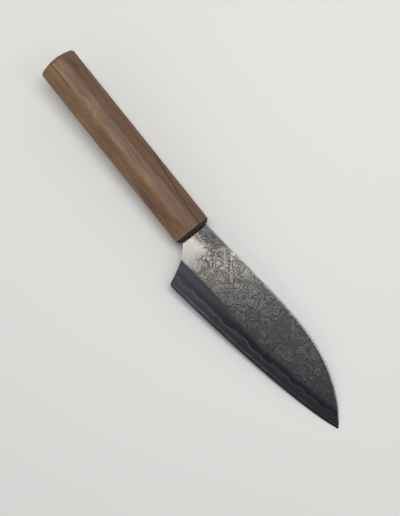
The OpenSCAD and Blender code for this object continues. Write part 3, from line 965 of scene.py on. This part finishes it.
def layered_steel(f, h):
    """Etched layered cladding: bright at the neck, greyer to the point, dark satin on the bevel.

    The figure fades to the point, where plain darker patches part its lines, and a patch at the foot of
    the neck is nearly plain. The spine's and the choil's rims are worn, and resin stains the neck.
    """
    material, n, shader = new_material("Layered steel")
    at = blade_attributes(n, h)
    along, above, under = at["along"], at["above"], at["under"]
    fig = layer_figure(n, Along=along, Above=above, Bevel_share=at["bevel"], Left=at["left"])
    # Partly the steel's own tone and partly a painted highlight: the flat is brightest at the neck and
    # greys towards the point, sooner low down than by the spine.
    below = n.math("MAXIMUM", n.minus(30.0, above), 0.0)
    flat = n.mix(n.between(n.plus(along, below), 20.0, 68.0), f.steel_bright, f.steel_grey)
    # Painted shade: the flat darkens towards the spine at the neck, in the dark layers' colour.
    flat = n.laid(flat, f.steel_dark, n.between(along, 26.0, 8.0), n.between(under, 13.0, 4.0), 0.88)

    plain = n.times(n.between(along, 17.0, 7.0), n.between(above, 33.0, 28.0))
    shown = n.minus(1.0, n.times(plain, 0.85))
    patch = n.times(n.between(fig["Bands"], 0.35, 0.75), n.between(along, 35.0, 70.0))
    parted = n.minus(1.0, n.times(patch, 0.65))
    near_spine = n.between(under, 22.0, 11.0, 0.5, 1.0)
    for mark, layer, strength in (
        ("Bands", f.steel_dark, n.between(along, 30.0, 70.0, 0.15, 0.3)),
        ("Mesh", f.steel_dark, n.between(along, 90.0, 35.0, 0.1, 0.3)),
        ("Fine lines", f.steel_dark, n.between(along, 90.0, 35.0, 0.25, 0.5)),
        ("Pale lines", f.steel_pale, n.times(n.between(along, 15.0, 60.0, 0.12, 0.5), parted)),
        ("Lines", f.steel_dark, n.times(n.between(along, 20.0, 65.0, near_spine, 0.6), parted)),
    ):
        flat = n.laid(flat, layer, fig[mark], strength, shown)

    colour = n.mix(fig["On flat"], bevel_colour(n, f, at), flat)
    # Painted highlight and shade on the spine's eased corner: dark near the neck, pale towards the point.
    rim = n.mix(n.between(along, 30.0, 100.0), f.steel_dark, f.edge_bright)
    colour = n.laid(colour, rim, n.between(under, 1.2, 0.6), 0.6)
    colour = n.laid(colour, f.edge_bright, n.between(at["foot"], *WORN_RIM), 0.8)
    # Painted shadow: a dark band on the neck within about a millimetre of the handle, in the resin's
    # colour.
    colour = n.laid(colour, f.resin, n.between(at["from_handle"], 1.3 * MM, 0.5 * MM), 0.9)

    scratch = satin_scratches(n, Along=along, Above=above)["Scratch"]
    rough = n.plus(n.between(fig["On flat"], 0.0, 1.0, 0.34, 0.20), n.times(scratch, 0.08))
    etched = n.times(n.plus(fig["Lines"], n.times(fig["Fine lines"], 0.5)), shown)
    relief = n.bump(n.minus(1.0, n.times(etched, fig["On flat"])), 0.1, 0.04 * MM)
    n.finish(shader, Base_Color=colour, Roughness=rough, Metallic=1.0, Normal=relief)
    return material


def core_steel(f, h):
    """Hard core: the bevel's tones below the lamination line, with a bright honed edge."""
    material, n, shader = new_material("Core steel")
    at = blade_attributes(n, h)
    scratch = satin_scratches(n, Along=at["along"], Above=at["above"])["Scratch"]
    rough = n.plus(0.33, n.times(scratch, 0.1))
    n.finish(shader, Base_Color=bevel_colour(n, f, at), Roughness=rough, Metallic=1.0)
    return material


# Wood, resin and floor


@node_group("Wood grain", Vector=(0.0, 0.0, 0.0), Pith=(0.0, 0.03, -0.03), Ring_width=0.004, Bend=1.0)
def wood_grain(n, vector, pith, width, bend):
    """Growth rings and pores of a wood whose grain runs along X, in metres.

    Rings are distances from a pith line that lies beside the piece, bent by noises that are stretched
    along the grain; pores are short dark strokes along the grain.
    """
    warp = n.vector("MULTIPLY", n.shake(vector, (9.0, 60.0, 60.0), 3.0, 0.55), (0.0, 0.016, 0.016))
    bent = n.vector("ADD", n.vector("SUBTRACT", vector, pith), n.vector("SCALE", warp, Scale=bend))
    far = n.distance(n.vector("MULTIPLY", bent, (0.0, 1.0, 1.0)))
    return {
        "Rings": n.math("FRACT", n.math("DIVIDE", far, width)),
        "Streaks": n.noise(bent, (45.0, 620.0, 620.0), 3.0, 0.65),
        "Pores": n.noise(vector, (300.0, 3600.0, 3600.0), 1.0),
        "Patches": n.noise(vector, (26.0, 90.0, 90.0), 3.0, 0.55),
    }


def spot(n, vector, x, y, half_length, half_height, strength):
    """A soft spot on the handle: its strength at its centre and 0 on its ellipse's border, in mm."""
    away = n.vector("SUBTRACT", vector, (x * MM, y * MM, 0.0))
    away = n.vector("DIVIDE", away, (half_length * MM, half_height * MM, 1.0))
    far = n.distance(n.vector("MULTIPLY", away, (1.0, 1.0, 0.0)))
    return n.times(n.between(far, 1.0, 0.0), strength)


def handle_wood(f):
    """Oiled walnut: soft growth lines round a curl, honey streaks, fibres and pores under a satin oil.

    The curl is a twist of the grain round an axis through the handle. Pinkish heartwood lies on the
    spine's side and honey-coloured wood on the edge's. One long dark growth line runs out of the front,
    a short one out of the butt, and a dark spot lies near the butt.
    """
    material, n, shader = new_material("Oiled walnut")
    vector = n.place()
    x, y, z = n.parts(vector)
    axis = (CURL[0] * MM, CURL[1] * MM, 0.0)
    twist = {"Vector": vector, "Center": axis, "Angle": spot(n, vector, *CURL)}
    curled = n.add("ShaderNodeVectorRotate", twist, rotation_type="Z_AXIS").outputs[0]
    wood = wood_grain(n, Vector=curled, Ring_width=0.0055)
    spots = (spot(n, vector, *place) for place in HONEY_SPOTS)
    honey = n.plus(wood["Patches"], n.times(y, -16.0), *spots)
    colour = n.mix(n.between(honey, 0.38, 0.74), f.walnut_mid, f.walnut_light)
    colour = n.laid(colour, f.walnut_dark, n.between(wood["Streaks"], 0.38, 0.72), 0.42)
    colour = n.laid(colour, f.walnut_dark, n.band(wood["Rings"], 0.70, 0.93, 0.95, 1.0), 0.3)

    start, low, run, rise, form = LONG_LINE
    gone = n.math("MAXIMUM", n.math("DIVIDE", n.minus(start, x), run), 0.0)
    off_long = n.minus(y, n.plus(n.times(n.math("POWER", gone, form), rise), low))
    long_line = n.between(n.math("ABSOLUTE", off_long), 0.9 * MM, 0.2 * MM)
    full, faded, low, waver = SHORT_LINE
    off_short = n.minus(n.plus(y, n.times(n.noise(vector, 90.0), waver)), low)
    short_line = n.between(n.math("ABSOLUTE", off_short), 0.6 * MM, 0.1 * MM)
    short_line = n.times(short_line, n.between(x, faded, full))
    end = n.add("ShaderNodeAttribute", attribute_name="end_grain_and_shade").outputs["Fac"]
    on_right = n.times(n.between(z, 9 * MM, 11 * MM), n.between(end, 0.3, 0.1))
    for mark in (n.times(long_line, 0.7), n.times(short_line, 0.7), spot(n, vector, *KNOT)):
        colour = n.laid(colour, f.walnut_dark, mark, on_right)

    pore = n.between(wood["Pores"], 0.66, 0.76)
    colour = n.laid(colour, f.walnut_dark, pore, 0.5)
    # Dark end grain, which is also painted shade: the front's eased edge takes it fully.
    colour = n.mix(end, colour, f.end_grain_and_shade)
    rough = n.plus(n.between(end, 0.0, 1.0, 0.5, 0.75), n.times(pore, 0.2))
    relief = n.bump(n.times(pore, -1.0), 0.3, 0.05 * MM)
    n.finish(shader, Base_Color=colour, Roughness=rough, Normal=relief, Specular_IOR_Level=0.4)
    return material


def dowel_wood(f, h):
    """Bare pale hardwood of the dowel, with resin over its front end."""
    material, n, shader = new_material("Dowel wood")
    vector = n.place()
    wood = wood_grain(n, Vector=vector, Ring_width=0.0025, Bend=0.4)
    colour = n.laid(f.dowel_wood, f.walnut_mid, n.between(wood["Rings"], 0.5, 1.0), 0.4)
    from_front = n.minus(h.length / 2, n.parts(vector)[0])
    colour = n.mix(n.between(from_front, 0.4 * MM, 0.1 * MM), colour, f.resin)
    n.finish(shader, Base_Color=colour, Roughness=0.6)
    return material


def bedding_resin(f):
    """Dark resin with a faint mottle."""
    material, n, shader = new_material("Bedding resin")
    colour = n.laid(f.resin, BLACK, n.noise(n.place(), 900.0), 0.4)
    n.finish(shader, Base_Color=colour, Roughness=0.4)
    return material


def plain_floor(stage):
    """Matt pale floor, which past the lamps' reach shows its own colour to the camera and to gloss."""
    material, n, shader = new_material("Plain floor")
    ray = n.add("ShaderNodeLightPath").outputs
    seen = n.plus(ray["Is Camera Ray"], ray["Is Glossy Ray"])
    seen = n.math("ADD", seen, ray["Is Transmission Ray"], clamp=True)
    far = n.times(n.between(n.distance(n.place()), stage.fade_start, stage.fade_end), seen)
    n.finish(
        shader, Base_Color=n.mix(far, stage.floor, BLACK), Roughness=0.9, Specular_IOR_Level=0.1,
        Emission_Color=n.mix(far, BLACK, stage.floor), Emission_Strength=1.0,
    )
    return material


# Operators


def chosen(context):
    """Sizes of the blade and of the handle, and the colours."""
    scene = context.scene
    return scene.knife_blade, scene.knife_handle, scene.knife_finishes


class KNIFE_OT_core(bpy.types.Operator):
    """Build the hard core with the edge and the middle layer of the tang"""

    bl_idname = "knife.core"
    bl_label = "Build the core"

    def execute(self, context):
        b, h, f = chosen(context)
        rings, marks = core_rings(b, h)
        add_piece("blade_core", rings, marks, "core_steel", core_steel(f, h), sharp=20)
        return {"FINISHED"}


class KNIFE_OT_claddings(bpy.types.Operator):
    """Build the layered claddings of both faces with their layers of the tang"""

    bl_idname = "knife.claddings"
    bl_label = "Build the claddings"

    def execute(self, context):
        b, h, f = chosen(context)
        steel = layered_steel(f, h)
        for side, name in enumerate(("right", "left")):
            rings, marks = cladding_rings(b, h, side)
            piece, node = f"blade_cladding_{name}", f"cladding_{name}"
            add_piece(piece, rings, marks, node, steel, sharp=30)
        return {"FINISHED"}


class KNIFE_OT_handle(bpy.types.Operator):
    """Build the softly eight-sided wooden handle"""

    bl_idname = "knife.handle"
    bl_label = "Build the handle"

    def execute(self, context):
        _, h, f = chosen(context)
        rings, marks = handle_rings(h)
        add_piece("handle_wood", rings, marks, "handle", handle_wood(f), sharp=40)
        return {"FINISHED"}


class KNIFE_OT_bedding(bpy.types.Operator):
    """Finish the dowel and the resin that hold the tang"""

    bl_idname = "knife.bedding"
    bl_label = "Finish the bedding"

    def execute(self, context):
        _, h, f = chosen(context)
        for name, material, slot in (
            ("tang_dowel", dowel_wood(f, h), "dowel_wood"), ("tang_resin", bedding_resin(f), "resin")
        ):
            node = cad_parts[name]
            node.data.materials.clear()
            node.data.materials.append(material)
        return {"FINISHED"}


def add_floor(b, h, stage):
    """A wide plane just under the handle's front and the point, sloping from one to the other."""
    point = placed(b, h, b.tip_x, b.tip_drop, 0.0)
    front = h.length / 2 - h.front_ease
    slope = point[2] / (point[0] - front)
    corners = [
        (x * FLOOR_REACH, y * FLOOR_REACH, (x * FLOOR_REACH - front) * slope - FLOOR_DROP)
        for x, y in ((-1, -1), (1, -1), (1, 1), (-1, 1))
    ]
    mesh = bpy.data.meshes.new("floor")
    mesh.from_pydata(corners, [], [(0, 1, 2, 3)])
    mesh.materials.append(plain_floor(stage))
    floor = put("floor", mesh)


def soft_box(name, watts, size, place, aim):
    """A rectangular lamp at a place, turned to face a point."""
    lamp = bpy.data.lights.new(name, "AREA")
    lamp.energy, lamp.shape, lamp.size, lamp.size_y = watts, "RECTANGLE", *size
    away = np.array(place) - np.array(aim)
    tilt = math.atan2(math.hypot(away[0], away[1]), away[2])
    put(name, lamp, place, (tilt, 0, math.atan2(away[0], -away[1])))


def studio_sky(stage):
    """A world of the floor's colour that is dim overhead."""
    world = bpy.data.worlds.new("Studio")
    world.use_nodes = True
    n = Nodes(world.node_tree)
    ways = n.add("ShaderNodeTexCoord").outputs["Generated"]
    colour = n.mix(n.between(n.parts(ways)[2], *SKY_FADE), stage.floor, SKY_OVERHEAD)
    n.finish(world.node_tree.nodes["Background"], Color=colour, Strength=1.0)
    return world


class KNIFE_OT_stage(bpy.types.Operator):
    """Set up the pale floor, the soft lamps and the camera"""

    bl_idname = "knife.stage"
    bl_label = "Set up the stage"

    def execute(self, context):
        b, h, _ = chosen(context)
        scene, stage = context.scene, context.scene.knife_stage
        add_floor(b, h, stage)
        soft_box("Key lamp", stage.key_power, *KEY_LAMP)
        soft_box("Rim lamp", stage.rim_power, *RIM_LAMP)
        scene.world = studio_sky(stage)
        camera = bpy.data.cameras.new("Camera")
        camera.lens = stage.lens
        place = (stage.camera_x, stage.camera_y, h.thickness / 2 + stage.camera_height)
        scene.camera = put("Camera", camera, place, (0, 0, stage.camera_turn))
        scene.view_settings.view_transform = "Standard"
        return {"FINISHED"}


class KNIFE_PT_panel(bpy.types.Panel):
    """Lists the sizes, the colours and the steps that build the knife"""

    bl_idname = "KNIFE_PT_panel"
    bl_label = "Kitchen knife"
    bl_space_type = "VIEW_3D"
    bl_region_type = "UI"
    bl_category = "Knife"

    def draw(self, context):
        for step in STEPS:
            self.layout.operator(step.bl_idname)
        for name in GROUPS:
            group, box = getattr(context.scene, name), self.layout.box()
            for key in group.__annotations__:
                box.prop(group, key)


GROUPS = {
    "knife_blade": BladeShape,
    "knife_handle": HandleShape,
    "knife_finishes": Finishes,
    "knife_stage": StageSettings,
}
STEPS = (KNIFE_OT_core, KNIFE_OT_claddings, KNIFE_OT_handle, KNIFE_OT_bedding, KNIFE_OT_stage)


def register():
    for kind in (*GROUPS.values(), *STEPS, KNIFE_PT_panel):
        bpy.utils.register_class(kind)
    for name, kind in GROUPS.items():
        setattr(bpy.types.Scene, name, bpy.props.PointerProperty(type=kind))


def unregister():
    for name in GROUPS:
        delattr(bpy.types.Scene, name)
    for kind in reversed((*GROUPS.values(), *STEPS, KNIFE_PT_panel)):
        bpy.utils.unregister_class(kind)


def main():
    register()
    bpy.ops.knife.core()
    bpy.ops.knife.claddings()
    bpy.ops.knife.handle()
    bpy.ops.knife.bedding()
    bpy.ops.knife.stage()


if __name__ == "__main__":
    main()
